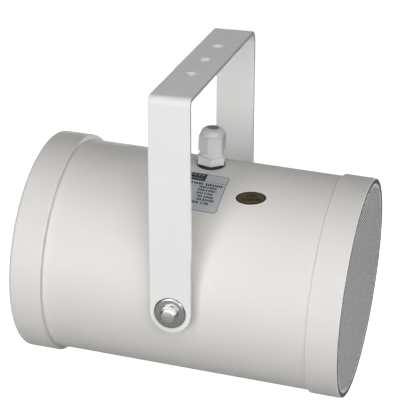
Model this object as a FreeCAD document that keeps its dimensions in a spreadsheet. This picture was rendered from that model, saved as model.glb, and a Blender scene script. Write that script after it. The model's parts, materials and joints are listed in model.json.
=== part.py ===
import FreeCAD, Part
import math
import os

import Sketcher

# Projection speaker: a round plastic housing that tilts in a U-shaped steel bracket.
# Origin: middle hole of the bracket's bridge, on its outer face, +Z up. The housing hangs
# below, its axis along Y and its grille towards -Y. Lengths are in millimetres.

SIZES = {
    # bracket, bent from one flat strip
    "bracket_width": 28.2,
    "bracket_thickness": 3.0,
    "bracket_side_gap": 5.0,
    "near_bend_inner_radius": 2.0,
    "far_bend_inner_radius": 6.5,
    "bracket_hole_radius": 4.0,
    "bracket_hole_pitch": 32.2,
    "pivot_drop": 149.25,
    "leg_end_offset": 1.0,
    "leg_end_radius": 14.11,
    "strip_edge_rounding": 0.4,
    "rest_tilt": 2.7,
    # housing, measured from the pivot along the axis
    "front_reach": 112.0,
    "rear_reach": 116.7,
    "tube_radius": 75.0,
    "tube_wall": 3.5,
    "sleeve_clearance": 0.1,
    "seat_clearance": 0.1,
    "bezel_skirt": 1.5,
    "bezel_length": 21.9,
    "bezel_lip": 2.8,
    "ledge_depth": 4.0,
    "ledge_reach": 3.5,
    "rim_rounding": 0.8,
    "rear_cap_skirt": 3.0,
    "rear_cap_length": 23.2,
    "rear_cap_wall": 3.5,
    "rear_cap_rounding": 2.5,
    "skirt_rounding": 0.5,
    # grille and its backing cloth
    "grille_recess": 0.3,
    "grille_thickness": 1.0,
    "grille_edge_clearance": 0.2,
    "grille_hole_pitch": 8.0,
    "grille_hole_radius": 2.9,
    "grille_plain_border": 5.0,
    "cloth_thickness": 0.4,
    # baffle and gasket
    "baffle_thickness": 9.0,
    "baffle_lip": 1.5,
    "baffle_clearance": 0.2,
    "gasket_thickness": 1.5,
    "gasket_lip": 1.0,
    # driver frame
    "flange_clearance": 2.0,
    "flange_thickness": 1.2,
    "flange_width": 8.0,
    "step_depth": 2.5,
    "step_width": 4.0,
    "frame_wall": 1.2,
    "frame_depth": 37.4,
    "frame_floor_radius": 36.0,
    "spider_step_radius": 33.0,
    "spider_step_height": 4.0,
    "spider_step_inner_radius": 28.0,
    "window_width": 24.0,
    "window_length": 20.0,
    "screw_edge_distance": 3.1,
    # motor
    "top_plate_radius": 32.0,
    "top_plate_thickness": 4.0,
    "magnet_radius": 36.0,
    "magnet_bore_radius": 18.0,
    "magnet_thickness": 14.0,
    "back_plate_thickness": 4.0,
    "pole_radius": 12.4,
    "coil_inner_radius": 13.0,
    "coil_wall": 0.7,
    "coil_gap": 0.5,
    "coil_bottom_clearance": 4.2,
    "coil_length": 28.0,
    # moving diaphragm
    "cone_lip": 3.3,
    "cone_thickness": 0.8,
    "cone_neck_thickness": 1.05,
    "cone_neck_drop": 23.0,
    "surround_thickness": 0.6,
    "surround_roll_width": 8.8,
    "surround_roll_spare": 0.1,
    "surround_clearance": 0.2,
    "surround_inner_lip": 3.0,
    "surround_outer_lip": 3.0,
    "spider_thickness": 0.5,
    "spider_wave": 1.2,
    "dust_cap_radius": 16.5,
    "dust_cap_height": 5.0,
    "dust_cap_thickness": 0.6,
    # pivots
    "pivot_bolt_radius": 3.0,
    "pivot_clearance": 0.05,
    "rubbing_gap": 0.1,
    "bolt_head_flats": 10.0,
    "bolt_head_height": 4.0,
    "bolt_head_turn": 20.0,
    "bolt_length": 25.0,
    "bolt_head_chamfer": 0.55,
    "spring_washer_radius": 5.9,
    "spring_washer_thickness": 1.6,
    "spring_washer_slit": 1.0,
    "flat_washer_radius": 11.0,
    "flat_washer_thickness": 1.6,
    "flat_washer_rounding": 0.3,
    "washer_bore_radius": 3.2,
    "spacer_radius": 10.0,
    "stiffener_thickness": 2.0,
    "stiffener_length": 44.0,
    "stiffener_height": 30.0,
    "nut_flats": 10.0,
    "nut_height": 5.0,
    # cable gland on top of the tube
    "gland_ahead": 0.9,
    "gland_washer_radius": 9.7,
    "gland_washer_thickness": 1.8,
    "gland_flats": 18.2,
    "gland_hex_height": 5.8,
    "gland_thread_radius": 7.6,
    "gland_thread_length": 15.0,
    "gland_hex_turn": 14.6,
    "gland_hex_chamfer": 1.0,
    "gland_bore_radius": 4.9,
    "gland_neck_radius": 7.2,
    "gland_neck_height": 10.0,
    "gland_collar_radius": 8.2,
    "gland_collar_height": 3.0,
    "gland_hole_clearance": 0.3,
    "gland_nut_gap": 3.2,
    "gland_nut_radius": 9.55,
    "gland_nut_flats": 17.0,
    "gland_nut_grip": 11.3,
    "gland_nut_turn": 58.6,
    "gland_nut_edge": 0.4,
    "gland_nut_height": 16.4,
    "gland_opening_radius": 4.2,
    "gland_nut_wall": 1.25,
    "gland_seal_radius": 5.6,
    "gland_seal_bore": 3.1,
    "gland_seal_drop": 0.5,
    "gland_seal_collar": 2.2,
    "locknut_height": 4.5,
    # transformer and terminals on the rear cap
    "boss_radius": 4.5,
    "boss_height": 5.0,
    "boss_pilot_radius": 1.4,
    "foot_half_pitch": 31.0,
    "foot_thickness": 1.0,
    "foot_length": 12.0,
    "core_width": 48.0,
    "core_height": 40.0,
    "core_stack": 18.0,
    "core_limb": 8.0,
    "clamp_half_width": 7.2,
    "foot_hole_radius": 1.7,
    "winding_clearance": 0.2,
    "small_screw_radius": 1.4,
    "small_screw_head_radius": 2.6,
    "small_screw_head_height": 2.0,
    "small_screw_length": 5.5,
    "driver_screw_radius": 1.5,
    "driver_screw_length": 9.5,
    "terminal_block_width": 32.0,
    "terminal_block_height": 13.0,
    "terminal_block_depth": 13.0,
    "terminal_block_rise": 36.0,
    "terminal_pitch": 8.0,
    "terminal_mouth_rise": 3.0,
    "terminal_mouth_depth": 7.8,
    "terminal_seat_depth": 8.4,
    "terminal_head_well": 3.2,
    "terminal_well_radius": 2.2,
    "tag_strip_width": 18.0,
    "tag_strip_length": 11.0,
    "tag_strip_thickness": 1.6,
    "tag_strip_gap": 0.1,
    "tag_setback": 4.4,
    "lead_radius": 0.9,
    # label and sticker on the tube
    "label_width": 42.0,
    "label_height": 34.2,
    "label_ahead": -2.2,
    "label_angle": 65.2,
    "label_turn": 1.6,
    "label_corner": 3.0,
    "label_thickness": 0.2,
    "sticker_length": 20.4,
    "sticker_height": 11.6,
    "sticker_ahead": 37.9,
    "sticker_angle": 65.2,
    "sticker_turn": 11.0,
}

doc = FreeCAD.newDocument("ProjectionSpeaker")
sheet = doc.addObject("Spreadsheet::Sheet", "Dims")
for row, (alias, number) in enumerate(SIZES.items(), start=1):
    sheet.set(f"A{row}", alias)
    sheet.set(f"B{row}", str(number))
    sheet.setAlias(f"B{row}", alias)
doc.recompute()


class Size:
    """A length with its value and the formula that gives it from the sheet."""

    def __init__(self, formula, value):
        self.formula = formula
        self.value = value

    def join(self, sign, other, value):
        right = other.formula if isinstance(other, Size) else str(float(other))
        return Size(f"({self.formula} {sign} {right})", value)

    def __add__(self, other):
        return self.join("+", other, self.value + number_of(other))

    def __sub__(self, other):
        return self.join("-", other, self.value - number_of(other))

    def __mul__(self, other):
        return self.join("*", other, self.value * number_of(other))

    def __truediv__(self, other):
        return self.join("/", other, self.value / number_of(other))

    def __neg__(self):
        return Size(f"(-{self.formula})", -self.value)


def number_of(size):
    return size.value if isinstance(size, Size) else float(size)


def dim(alias):
    return Size(f"Dims.{alias}", float(sheet.get(alias)))


ZERO = Size("0.0", 0.0)
NEAR = 0.01
parts = []

# The leads' runs: aside, back from the tag and down; then back from the block and down
SPEAKER_LEAD = [(6, 0, 0), (6, 24, 0), (9, 46, 16), (11, 78, 30), (9, 106, 35), (7, 150, 43)]
LINE_LEAD = [(8, 0), (14, 6), (11, 14)]


# Places on the housing's axis, as distances ahead of the pivot
front = dim("front_reach")
rear = -dim("rear_reach")
bezel_back = front - dim("bezel_length")
grille_front = front - dim("grille_recess")
grille_back = grille_front - dim("grille_thickness")
cloth_back = grille_back - dim("cloth_thickness")
ledge_back = grille_back - dim("ledge_depth")
tube_front = ledge_back - dim("seat_clearance")
cap_inside = rear + dim("rear_cap_wall")
tube_rear = cap_inside + dim("seat_clearance")
cap_front = rear + dim("rear_cap_length")
baffle_back = ledge_back - dim("baffle_thickness")
flange_front = baffle_back - dim("gasket_thickness")
flange_back = flange_front - dim("flange_thickness")
step_front = flange_front - dim("step_depth")
floor_back = flange_front - dim("frame_depth")
floor_front = floor_back + dim("frame_wall")
spider_seat = floor_front + dim("spider_step_height")
plate_back = floor_back - dim("top_plate_thickness")
magnet_back = plate_back - dim("magnet_thickness")
yoke_back = magnet_back - dim("back_plate_thickness")

# Radii, each built on the one before it
tube_inner = dim("tube_radius") - dim("tube_wall")
half_span = dim("tube_radius") + dim("bracket_side_gap") + dim("bracket_thickness")
sleeve_bore = dim("tube_radius") + dim("sleeve_clearance")
cap_radius = sleeve_bore + dim("rear_cap_skirt")
bezel_radius = sleeve_bore + dim("bezel_skirt")
bezel_opening = bezel_radius - dim("bezel_lip")
ledge_inner = tube_inner - dim("ledge_reach")
flange_outer = tube_inner - dim("flange_clearance")
flange_inner = flange_outer - dim("flange_width")
screw_circle = flange_outer - dim("screw_edge_distance")
step_inner = flange_inner - dim("step_width")
surround_outer = flange_inner - dim("surround_clearance")
roll_end = surround_outer - dim("surround_outer_lip")
roll_start = roll_end - dim("surround_roll_width")
cone_radius = roll_start - dim("surround_clearance")
coil_outer = dim("coil_inner_radius") + dim("coil_wall")


def hang(item, on_housing=True):
    """Places an object that is drawn about the pivot: it hangs below the bridge, tilted."""
    angle = dim("rest_tilt") if on_housing else ZERO
    place = FreeCAD.Vector(0, 0, -dim("pivot_drop").value)
    turn = FreeCAD.Rotation(FreeCAD.Vector(1, 0, 0), angle.value)
    item.Placement = FreeCAD.Placement(place, turn)
    if item.TypeId != "Part::Feature":
        item.setExpression("Placement.Base.z", "-Dims.pivot_drop")
        if on_housing:
            item.setExpression("Placement.Rotation.Angle", "Dims.rest_tilt")


def keep(item, label, on_housing=True):
    """Registers a finished piece under its name."""
    item.Label = label
    hang(item, on_housing)
    parts.append(item)
    return item


def new_body(label):
    return doc.addObject("PartDesign::Body", label)


def plane_of(body, role):
    for feature in body.Origin.OriginFeatures:
        if feature.Role == role:
            return feature
    raise ValueError(role)


def new_sketch(body, role, name, offset=None):
    sketch = body.newObject("Sketcher::SketchObject", name)
    sketch.AttachmentSupport = [(plane_of(body, role), "")]
    sketch.MapMode = "FlatFace"
    if offset is not None:
        sketch.AttachmentOffset = FreeCAD.Placement(
            FreeCAD.Vector(0, 0, offset.value), FreeCAD.Rotation()
        )
        sketch.setExpression("AttachmentOffset.Base.z", offset.formula)
    return sketch


def pin_point(sketch, geometry, end, x, y):
    """Ties one end of a sketched edge to two formulas."""
    for kind, size, axis in (("DistanceX", x, -2), ("DistanceY", y, -1)):
        if abs(size.value) < 1e-9:
            sketch.addConstraint(Sketcher.Constraint("PointOnObject", geometry, end, axis))
            continue
        index = sketch.addConstraint(
            Sketcher.Constraint(kind, -1, 1, geometry, end, size.value)
        )
        sketch.setExpression(f"Constraints[{index}]", size.formula)


def bulge_point(start, end, radius, side):
    """A point half way along the arc from start to end that bulges to the given side."""
    middle = (start + end) * 0.5
    half = (end - start).Length / 2
    across = FreeCAD.Vector(-(end - start).y, (end - start).x, 0).normalize()
    return middle + across * side * (radius - math.sqrt(radius**2 - half**2))


def draw_profile(sketch, corners):
    """Draws a closed outline. A corner is (x, y), or (x, y, radius, side) for an arc to the next."""
    spots = [FreeCAD.Vector(number_of(c[0]), number_of(c[1]), 0) for c in corners]
    ends = []
    for index, corner in enumerate(corners):
        start = spots[index]
        end = spots[(index + 1) % len(spots)]
        if len(corner) == 2:
            ends.append((sketch.addGeometry(Part.LineSegment(start, end)), 1, 2))
            continue
        radius, side = corner[2], corner[3]
        middle = bulge_point(start, end, radius.value, side)
        edge = sketch.addGeometry(Part.Arc(start, middle, end))
        first = sketch.getPoint(edge, 1)
        near = first.distanceToPoint(start) < first.distanceToPoint(end)
        ends.append((edge, 1, 2) if near else (edge, 2, 1))
    for index, (edge, start_end, far_end) in enumerate(ends):
        follower, next_start, _ = ends[(index + 1) % len(ends)]
        sketch.addConstraint(
            Sketcher.Constraint("Coincident", edge, far_end, follower, next_start)
        )
    for (edge, start_end, _), corner in zip(ends, corners):
        pin_point(sketch, edge, start_end, corner[0], corner[1])
        if len(corner) == 4:
            index = sketch.addConstraint(
                Sketcher.Constraint("Radius", edge, corner[2].value)
            )
            sketch.setExpression(f"Constraints[{index}]", corner[2].formula)


def draw_circle(sketch, x, y, radius):
    centre = FreeCAD.Vector(number_of(x), number_of(y), 0)
    circle = sketch.addGeometry(
        Part.Circle(centre, FreeCAD.Vector(0, 0, 1), radius.value)
    )
    pin_point(sketch, circle, 3, x, y)
    index = sketch.addConstraint(Sketcher.Constraint("Radius", circle, radius.value))
    sketch.setExpression(f"Constraints[{index}]", radius.formula)


def revolve(body, corners):
    """Turns an outline of (radius, along) corners about the housing's axis."""
    sketch = new_sketch(body, "XY_Plane", body.Name + "_outline")
    draw_profile(sketch, corners)
    turn = body.newObject("PartDesign::Revolution", body.Name + "_turned")
    turn.Profile = sketch
    turn.ReferenceAxis = (sketch, ["V_Axis"])
    turn.Angle = 360.0
    doc.recompute()
    return turn


def turned(label, corners):
    """A housing piece turned about the housing's axis. Corners are (radius, ahead)."""
    body = new_body(label)
    flipped = []
    for corner in corners:
        side = (-corner[3],) if len(corner) == 4 else ()
        flipped.append((corner[0], -corner[1]) + tuple(corner[2:3]) + side)
    revolve(body, flipped)
    return keep(body, label)


def volume_of(body):
    doc.recompute()
    return body.Shape.Volume


def cut_through(body, sketch, both_ways=True, reverse=False):
    """Cuts a sketch right through the body and makes sure that it removed material."""
    before = volume_of(body)
    pocket = body.newObject("PartDesign::Pocket", sketch.Name + "_cut")
    pocket.Profile = sketch
    pocket.Type = 1
    pocket.Midplane = both_ways
    pocket.Reversed = reverse
    after = volume_of(body)
    if not after < before - 1e-6:
        raise RuntimeError(f"{pocket.Name} cut nothing")
    return pocket


def cut_blind(body, sketch, depth, reverse=False):
    before = volume_of(body)
    pocket = body.newObject("PartDesign::Pocket", sketch.Name + "_cut")
    pocket.Profile = sketch
    pocket.Length = depth.value
    pocket.setExpression("Length", depth.formula)
    pocket.Reversed = reverse
    after = volume_of(body)
    if not after < before - 1e-6:
        raise RuntimeError(f"{pocket.Name} cut nothing")
    return pocket


def pad(body, sketch, length, both_ways=False):
    solid = body.newObject("PartDesign::Pad", sketch.Name + "_pad")
    solid.Profile = sketch
    solid.Length = length.value
    solid.setExpression("Length", length.formula)
    solid.Midplane = both_ways
    doc.recompute()
    return solid


def polar(body, feature, sketch, count):
    """Repeats a feature round the housing's axis."""
    pattern = body.newObject("PartDesign::PolarPattern", feature.Name + "_round")
    pattern.Originals = [feature]
    pattern.Axis = (sketch, ["V_Axis"])
    pattern.Angle = 360.0
    pattern.Occurrences = count
    body.Tip = pattern
    doc.recompute()


def round_edges(body, feature, radius, chosen, name):
    """Rounds the edges of the latest feature that the chosen test picks."""
    doc.recompute()
    names = [
        f"Edge{index}"
        for index, edge in enumerate(feature.Shape.Edges, start=1)
        if chosen(edge)
    ]
    if not names:
        raise RuntimeError(f"{name} found no edge")
    rounding = body.newObject("PartDesign::Fillet", name)
    rounding.Base = (feature, names)
    rounding.Radius = radius.value
    rounding.setExpression("Radius", radius.formula)
    doc.recompute()
    return rounding


def ring_edge(radius, along):
    """A test for the circular edge of that radius at that place along Y."""

    def test(edge):
        curve = edge.Curve
        if not isinstance(curve, Part.Circle) or edge.Length < 6.0 * radius:
            return False
        same = abs(curve.Radius - radius) < NEAR
        return same and abs(curve.Center.y - along) < NEAR

    return test


def hexagon(centre, across_flats, turn, plane):
    """The six corners of a hexagon as plain points, one corner at the given turn."""
    reach = across_flats / 2 / math.cos(math.pi / 6)
    spots = []
    for step in range(7):
        angle = math.radians(turn + 60 * step)
        a, b = reach * math.cos(angle), reach * math.sin(angle)
        if plane == "YZ":
            spots.append(centre + FreeCAD.Vector(0, a, b))
        elif plane == "XZ":
            spots.append(centre + FreeCAD.Vector(a, 0, b))
        else:
            spots.append(centre + FreeCAD.Vector(a, b, 0))
    return Part.Face(Part.makePolygon(spots))


def shape_part(label, shape, on_housing=True):
    """A piece whose shape is made directly, such as a bent sheet or a pierced disc."""
    item = doc.addObject("Part::Feature", label)
    item.Shape = shape
    return keep(item, label, on_housing)


def rectangle(left, right, low, high):
    return [(left, low), (right, low), (right, high), (left, high)]


def make_bracket():
    """The strip: bridge on top, two legs, round leg ends, three fixing holes."""
    body = new_body("bracket")
    span, wall = half_span, dim("bracket_thickness")
    top = dim("pivot_drop")
    bottom = -dim("bracket_width") / 2 - dim("leg_end_offset")
    sketch = new_sketch(body, "XZ_Plane", "bracket_outline")
    draw_profile(
        sketch,
        [
            (-span, bottom),
            (-span, top),
            (span, top),
            (span, bottom),
            (span - wall, bottom),
            (span - wall, top - wall),
            (wall - span, top - wall),
            (wall - span, bottom),
        ],
    )
    strip = pad(body, sketch, dim("bracket_width"), both_ways=True)

    def bend(x, z):
        return lambda edge: (
            abs(edge.CenterOfMass.x - x) < NEAR
            and abs(edge.CenterOfMass.z - z) < NEAR
            and abs(edge.Length - dim("bracket_width").value) < NEAR
        )

    for name, side in (("near", -1), ("far", 1)):
        radius = dim(f"{name}_bend_inner_radius")
        inside = bend(side * (span - wall).value, (top - wall).value)
        outside = bend(side * span.value, top.value)
        inner = round_edges(body, strip, radius, inside, f"{name}_inner_bend")
        strip = round_edges(body, inner, radius + wall, outside, f"{name}_outer_bend")
    body.Tip = strip
    half = dim("bracket_width") / 2
    ends = new_sketch(body, "YZ_Plane", "leg_ends")
    beyond = dim("bracket_thickness")
    arc_height = -dim("leg_end_offset")
    draw_profile(
        ends,
        [
            (-half, arc_height, dim("leg_end_radius"), -1),
            (half, arc_height),
            (half + beyond, arc_height),
            (half + beyond, bottom - beyond),
            (-half - beyond, bottom - beyond),
            (-half - beyond, arc_height),
        ],
    )
    rounded = cut_through(body, ends)
    smooth = round_edges(
        body,
        rounded,
        dim("strip_edge_rounding"),
        lambda edge: edge.Length > dim("near_bend_inner_radius").value
        and abs(edge.CenterOfMass.y) > NEAR
        or abs(edge.CenterOfMass.z - number_of(bottom)) < dim("leg_end_radius").value
        and abs(edge.CenterOfMass.y) < NEAR,
        "strip_edges",
    )
    body.Tip = smooth
    pivots = new_sketch(body, "YZ_Plane", "pivot_holes")
    draw_circle(pivots, ZERO, ZERO, dim("pivot_bolt_radius") + dim("pivot_clearance"))
    cut_through(body, pivots)
    holes = new_sketch(body, "XY_Plane", "fixing_holes")
    for step in (-1, 0, 1):
        place = dim("bracket_hole_pitch") * step if step else ZERO
        draw_circle(holes, place, ZERO, dim("bracket_hole_radius"))
    cut_through(body, holes)
    keep(body, "bracket", on_housing=False)


def make_tube():
    body = new_body("body_tube")
    outer = dim("tube_radius")
    revolve(
        body,
        rectangle(tube_inner, outer, -tube_front, -tube_rear),
    )
    hole = new_sketch(body, "XY_Plane", "gland_hole")
    draw_circle(
        hole,
        ZERO,
        -dim("gland_ahead"),
        dim("gland_thread_radius") + dim("gland_hole_clearance"),
    )
    cut_through(body, hole, both_ways=False, reverse=True)
    pivots = new_sketch(body, "YZ_Plane", "tube_pivot_holes")
    draw_circle(pivots, ZERO, ZERO, dim("washer_bore_radius"))
    cut_through(body, pivots)
    keep(body, "body_tube")


def make_rear_cap():
    """A cup over the tube's rear end, with bosses inside for what it carries."""
    body = new_body("rear_cap")
    bore, outer = sleeve_bore, cap_radius
    cup = revolve(
        body,
        [
            (ZERO, -rear),
            (outer, -rear),
            (outer, -cap_front),
            (bore, -cap_front),
            (bore, -cap_inside),
            (ZERO, -cap_inside),
        ],
    )
    rim = round_edges(
        body,
        cup,
        dim("rear_cap_rounding"),
        ring_edge(outer.value, -rear.value),
        "rear_rounding",
    )
    lip = round_edges(
        body,
        rim,
        dim("skirt_rounding"),
        ring_edge(outer.value, -cap_front.value),
        "skirt_edge",
    )
    body.Tip = lip
    posts = new_sketch(body, "XZ_Plane", "boss_posts", cap_inside)
    for x, z in boss_places():
        draw_circle(posts, x, z, dim("boss_radius"))
    raised = pad(body, posts, dim("boss_height"))
    body.Tip = raised
    pilots = new_sketch(body, "XZ_Plane", "boss_pilots", cap_inside + dim("boss_height"))
    for x, z in boss_places():
        draw_circle(pilots, x, z, dim("boss_pilot_radius"))
    cut_blind(body, pilots, dim("small_screw_length"))
    keep(body, "rear_cap")


def boss_places():
    pitch = dim("foot_half_pitch")
    return [(-pitch, ZERO), (pitch, ZERO), (ZERO, dim("terminal_block_rise"))]


def make_bezel():
    """A collar over the tube's front end, with a ledge that the grille lies on."""
    body = new_body("front_bezel")
    bore, outer = sleeve_bore, bezel_radius
    collar = revolve(
        body,
        [
            (outer, -bezel_back),
            (outer, -front),
            (bezel_opening, -front),
            (bezel_opening, -grille_back),
            (ledge_inner, -grille_back),
            (ledge_inner, -ledge_back),
            (bore, -ledge_back),
            (bore, -bezel_back),
        ],
    )
    rim = round_edges(
        body,
        collar,
        dim("rim_rounding"),
        ring_edge(outer.value, -front.value),
        "front_rounding",
    )
    lip = round_edges(
        body,
        rim,
        dim("skirt_rounding"),
        ring_edge(outer.value, -bezel_back.value),
        "collar_edge",
    )
    body.Tip = lip
    keep(body, "front_bezel")


def grille_spots(reach, pitch):
    """Centres of a staggered hole pattern inside a circle."""
    row_gap = pitch * math.sqrt(3) / 2
    rows = int(reach / row_gap)
    spots = []
    for row in range(-rows, rows + 1):
        shift = pitch / 2 if row % 2 else 0.0
        steps = int(reach / pitch) + 1
        for step in range(-steps, steps + 1):
            x, z = step * pitch + shift, row * row_gap
            if math.hypot(x, z) <= reach:
                spots.append((x, z))
    return spots


def make_grille():
    """The pierced steel disc: staggered six-sided holes inside a plain border."""
    radius = (bezel_opening - dim("grille_edge_clearance")).value
    reach = radius - dim("grille_plain_border").value
    face = Part.Face(
        Part.Wire(
            Part.makeCircle(
                radius,
                FreeCAD.Vector(0, -grille_back.value, 0),
                FreeCAD.Vector(0, -1, 0),
            )
        )
    )
    flats = dim("grille_hole_radius").value * 2 * math.cos(math.pi / 6)
    holes = []
    for x, z in grille_spots(reach, dim("grille_hole_pitch").value):
        centre = FreeCAD.Vector(x, -grille_back.value, z)
        holes.append(hexagon(centre, flats, 30, "XZ"))
    pierced = face.cut(Part.makeCompound(holes))
    sheet_metal = pierced.extrude(
        FreeCAD.Vector(0, -dim("grille_thickness").value, 0)
    )
    shape_part("grille", sheet_metal.Solids[0])


def make_front_stack():
    """Cloth, baffle and gasket between the grille and the driver."""
    cloth_radius = ledge_inner - dim("grille_edge_clearance")
    turned("grille_cloth", rectangle(ZERO, cloth_radius, cloth_back, grille_back))
    turned(
        "baffle_ring",
        rectangle(
            flange_inner - dim("baffle_lip"),
            tube_inner - dim("baffle_clearance"),
            baffle_back,
            ledge_back,
        ),
    )
    drill_round(parts[-1], baffle_back)
    turned(
        "speaker_gasket",
        rectangle(
            flange_inner - dim("gasket_lip"), flange_outer, flange_front, baffle_back
        ),
    )
    drill_round(parts[-1], flange_front)


def drill_round(body, ahead):
    """Four screw holes on the driver's screw circle, from the given place forwards."""
    sketch = new_sketch(body, "XZ_Plane", body.Name + "_screw_holes", ahead)
    for x, z in screw_places():
        draw_circle(sketch, x, z, dim("driver_screw_radius"))
    cut_blind(body, sketch, dim("baffle_thickness"), reverse=True)


def screw_places():
    """The four driver screws, at 45 degrees to the axes."""
    shift = screw_circle * math.cos(math.pi / 4)
    return [(shift, shift), (-shift, shift), (-shift, -shift), (shift, -shift)]


def make_driver_frame():
    """Pressed steel frame: flange, step for the surround, windowed cone, floor and spider step."""
    wall = dim("frame_wall")
    step_back = step_front - wall
    body = turned(
        "speaker_frame",
        [
            (flange_outer, flange_front),
            (flange_inner, flange_front),
            (flange_inner, step_front),
            (step_inner, step_front),
            (dim("frame_floor_radius"), floor_front),
            (dim("spider_step_radius"), floor_front),
            (dim("spider_step_radius"), spider_seat),
            (dim("spider_step_inner_radius"), spider_seat),
            (dim("spider_step_inner_radius"), spider_seat - wall),
            (dim("spider_step_radius") - wall, spider_seat - wall),
            (dim("spider_step_radius") - wall, floor_front),
            (coil_outer + dim("coil_gap"), floor_front),
            (coil_outer + dim("coil_gap"), floor_back),
            (dim("frame_floor_radius") + wall, floor_back),
            (step_inner + wall, step_back),
            (flange_inner + wall, step_back),
            (flange_inner + wall, flange_back),
            (flange_outer, flange_back),
        ],
    )
    windows = new_sketch(body, "XY_Plane", "frame_windows")
    half = dim("window_width") / 2
    middle = (step_back + floor_front) / 2
    reach = dim("window_length") / 2
    draw_profile(windows, rectangle(-half, half, -middle - reach, -middle + reach))
    hole = cut_through(body, windows, both_ways=False, reverse=True)
    polar(body, hole, windows, 4)
    drill_round(body, flange_back)


def make_motor():
    gap_wall = coil_outer + dim("coil_gap")
    turned(
        "top_plate", rectangle(gap_wall, dim("top_plate_radius"), plate_back, floor_back)
    )
    turned(
        "magnet_ring",
        rectangle(dim("magnet_bore_radius"), dim("magnet_radius"), magnet_back, plate_back),
    )
    turned(
        "pole_yoke",
        [
            (ZERO, yoke_back),
            (dim("top_plate_radius"), yoke_back),
            (dim("top_plate_radius"), magnet_back),
            (dim("pole_radius"), magnet_back),
            (dim("pole_radius"), floor_back),
            (ZERO, floor_back),
        ],
    )


def make_diaphragm():
    """Voice coil, cone and dust cap, which move together, and the two soft rings."""
    coil_back = magnet_back + dim("coil_bottom_clearance")
    coil_front = coil_back + dim("coil_length")
    turned(
        "voice_coil",
        rectangle(dim("coil_inner_radius"), coil_outer, coil_back, coil_front),
    )
    skin = dim("cone_thickness")
    lip_inner = cone_radius - dim("cone_lip")
    lip_front = step_front
    lip_back = lip_front - skin
    neck_back = lip_back - dim("cone_neck_drop")
    neck_front = neck_back + dim("cone_neck_thickness")
    turned(
        "speaker_cone",
        [
            (coil_outer, neck_back),
            (coil_outer + skin, neck_back),
            (lip_inner + skin, lip_back),
            (cone_radius, lip_back),
            (cone_radius, lip_front),
            (lip_inner, lip_front),
            (coil_outer, neck_front),
        ],
    )
    slope = (lip_front - neck_front) / (lip_inner - coil_outer)
    cap_base = neck_front + (dim("dust_cap_radius") - coil_outer) * slope
    cap_skin = dim("dust_cap_thickness")
    outer_ball = dome_radius(dim("dust_cap_radius"), dim("dust_cap_height"))
    inner_ball = dome_radius(
        dim("dust_cap_radius") - cap_skin, dim("dust_cap_height") - cap_skin
    )
    turned(
        "dust_cap",
        [
            (dim("dust_cap_radius"), cap_base, outer_ball, -1),
            (ZERO, cap_base + dim("dust_cap_height")),
            (ZERO, cap_base + dim("dust_cap_height") - cap_skin, inner_ball, 1),
            (dim("dust_cap_radius") - cap_skin, cap_base),
        ],
    )
    make_surround()
    make_spider()


def dome_radius(base, height):
    """The radius of the ball that a shallow dome is part of."""
    return (base * base + height * height) / (height * 2.0)


def make_surround():
    """A roll between the cone's lip and the frame's step, bulging forwards."""
    skin = dim("surround_thickness")
    roll = dim("surround_roll_width") / 2 + dim("surround_roll_spare")
    inner_edge = cone_radius - dim("surround_inner_lip")
    lip_front = step_front + skin
    turned(
        "cone_surround",
        [
            (inner_edge, step_front),
            (roll_start + skin, step_front, roll - skin, 1),
            (roll_end - skin, step_front),
            (surround_outer, step_front),
            (surround_outer, lip_front),
            (roll_end, lip_front, roll, -1),
            (roll_start, lip_front),
            (inner_edge, lip_front),
        ],
    )


def make_spider():
    """A corrugated cloth ring from the voice coil to the frame's inner step."""
    waves = 5
    inner = coil_outer
    outer = dim("spider_step_radius")
    skin = dim("spider_thickness")
    flat = outer - dim("spider_step_inner_radius")
    span = (outer - flat - inner) / waves
    lower, upper = [(inner, spider_seat)], [(inner, spider_seat + skin)]
    for step in range(waves):
        lift = dim("spider_wave") if step % 2 else -dim("spider_wave")
        place = inner + span * (step + 0.5)
        lower.append((place, spider_seat + lift))
        upper.append((place, spider_seat + lift + skin))
    lower.append((outer - flat, spider_seat))
    lower.append((outer, spider_seat))
    upper.append((outer - flat, spider_seat + skin))
    upper.append((outer, spider_seat + skin))
    turned("speaker_spider", lower + upper[::-1])


def make_driver_screws():
    """Four pan-head screws, driven from behind through the flange into the baffle."""
    solids = []
    for x, z in screw_places():
        seat = FreeCAD.Vector(x.value, -flange_back.value, z.value)
        solids.append(pan_screw(seat, FreeCAD.Vector(0, -1, 0), "driver_screw"))
    shape_part("driver_screws", Part.makeCompound(solids))


def pan_screw(seat, into, family):
    """A pan-head screw whose head lies on the seat point and whose shank goes into the work."""
    radius = dim(family + "_radius").value
    length = dim(family + "_length").value
    shank = Part.makeCylinder(radius, length, seat, into)
    return shank.fuse(pan_head(seat, into)).removeSplitter()


def pan_head(seat, into):
    return Part.makeCylinder(
        dim("small_screw_head_radius").value,
        dim("small_screw_head_height").value,
        seat,
        into * -1,
    )


def make_pivots():
    """On each side: bolt, spring washer, flat washer, spacer, stiffener and nut."""
    for name, side in (("left", -1), ("right", 1)):
        make_pivot_side(name, side)


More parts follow.
